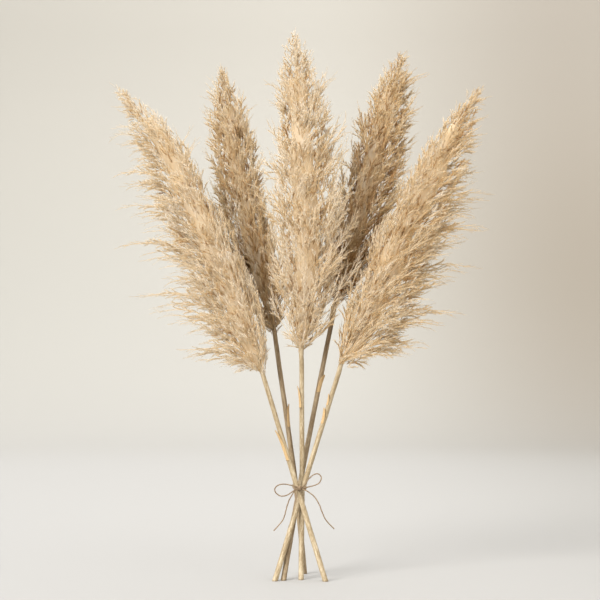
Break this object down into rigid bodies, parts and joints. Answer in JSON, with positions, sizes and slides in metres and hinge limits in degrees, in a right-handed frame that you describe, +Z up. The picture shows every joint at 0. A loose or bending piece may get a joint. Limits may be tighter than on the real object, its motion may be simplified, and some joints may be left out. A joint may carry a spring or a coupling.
{
  "type": "bundle of pampas grass",
  "caption": "Dried pampas grass stems with feathery plumes, tied at the waist with a jute twine bow and standing on their splayed cut ends.",
  "frame": {"origin": "on the ground, under the middle of the bundle's bounding box without the bow", "axes": "+Z up along the stems, +X to the right across the fan of plumes, -Y to the front, where the bow is"},
  "size_m": [0.724, 0.196, 1.058],
  "materials": {
    "cane_pale": "dry straw yellow cane with a faint gloss",
    "cane_tan": "dry tan cane with a faint gloss",
    "plume_cream": "matt cream beige plume of fine dry hairs",
    "plume_tan": "matt tan plume of fine dry hairs",
    "dry_sheath": "papery dry leaf sheath",
    "jute": "rough natural jute twine"
  },
  "bodies": {
    "root": {"stem_left": "cane_pale", "stem_back_left": "cane_tan", "stem_centre": "cane_pale", "stem_back_right": "cane_tan", "stem_right": "cane_pale", "plume_left": "plume_cream", "plume_back_left": "plume_tan", "plume_centre": "plume_cream", "plume_back_right": "plume_tan", "plume_right": "plume_cream", "sheath_left": "dry_sheath", "sheath_back_left": "dry_sheath", "sheath_centre": "dry_sheath", "sheath_back_right": "dry_sheath", "sheath_right": "dry_sheath", "sheath_right_upper": "dry_sheath", "twine_binding": "jute", "twine_knot": "jute", "bow_loop_left": "jute", "bow_loop_right": "jute", "bow_tail_left": "jute", "bow_tail_right": "jute"}
  },
  "joints": []
}
